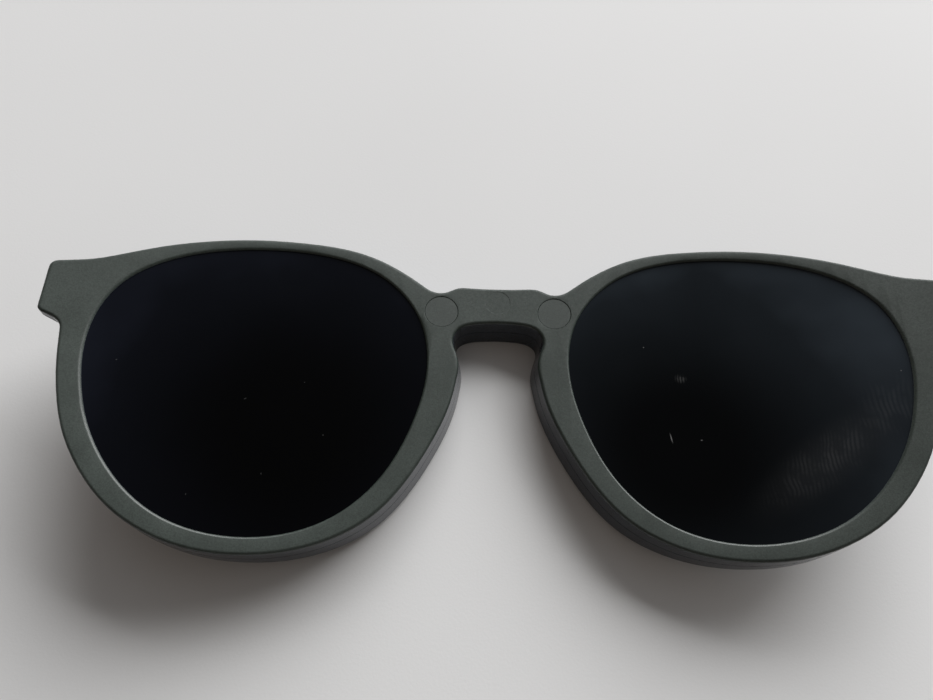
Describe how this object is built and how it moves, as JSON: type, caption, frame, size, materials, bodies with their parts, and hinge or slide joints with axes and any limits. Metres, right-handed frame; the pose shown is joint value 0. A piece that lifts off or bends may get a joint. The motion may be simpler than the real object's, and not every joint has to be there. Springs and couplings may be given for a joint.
{
  "type": "magnetic clip-on sunglass front",
  "caption": "Round clip-on sunglass front: curved layered frame with dark tinted lenses and magnets under plugs beside the bridge.",
  "frame": {"origin": "middle of the clip's overall width and depth, at the level of its lowest point, the front of the bridge", "axes": "+X along the width, +Y up towards the brow as worn, +Z backwards from the front face to the rear face that meets the glasses"},
  "size_m": [0.1322, 0.0501, 0.0174],
  "materials": {
    "rear_plastic": "fine matt",
    "front_plastic": "satin to glossy",
    "lens": "polished dark tint",
    "plug": "fine matt",
    "magnet": "nickel plate"
  },
  "bodies": {
    "root": {"rear_shell": "rear_plastic", "front_shell": "front_plastic", "lens_left": "lens", "lens_right": "lens", "bridge_cap_left": "plug", "bridge_cap_right": "plug", "bridge_magnet_left": "magnet", "bridge_magnet_right": "magnet", "end_magnet_left": "magnet", "end_magnet_right": "magnet"}
  },
  "joints": []
}
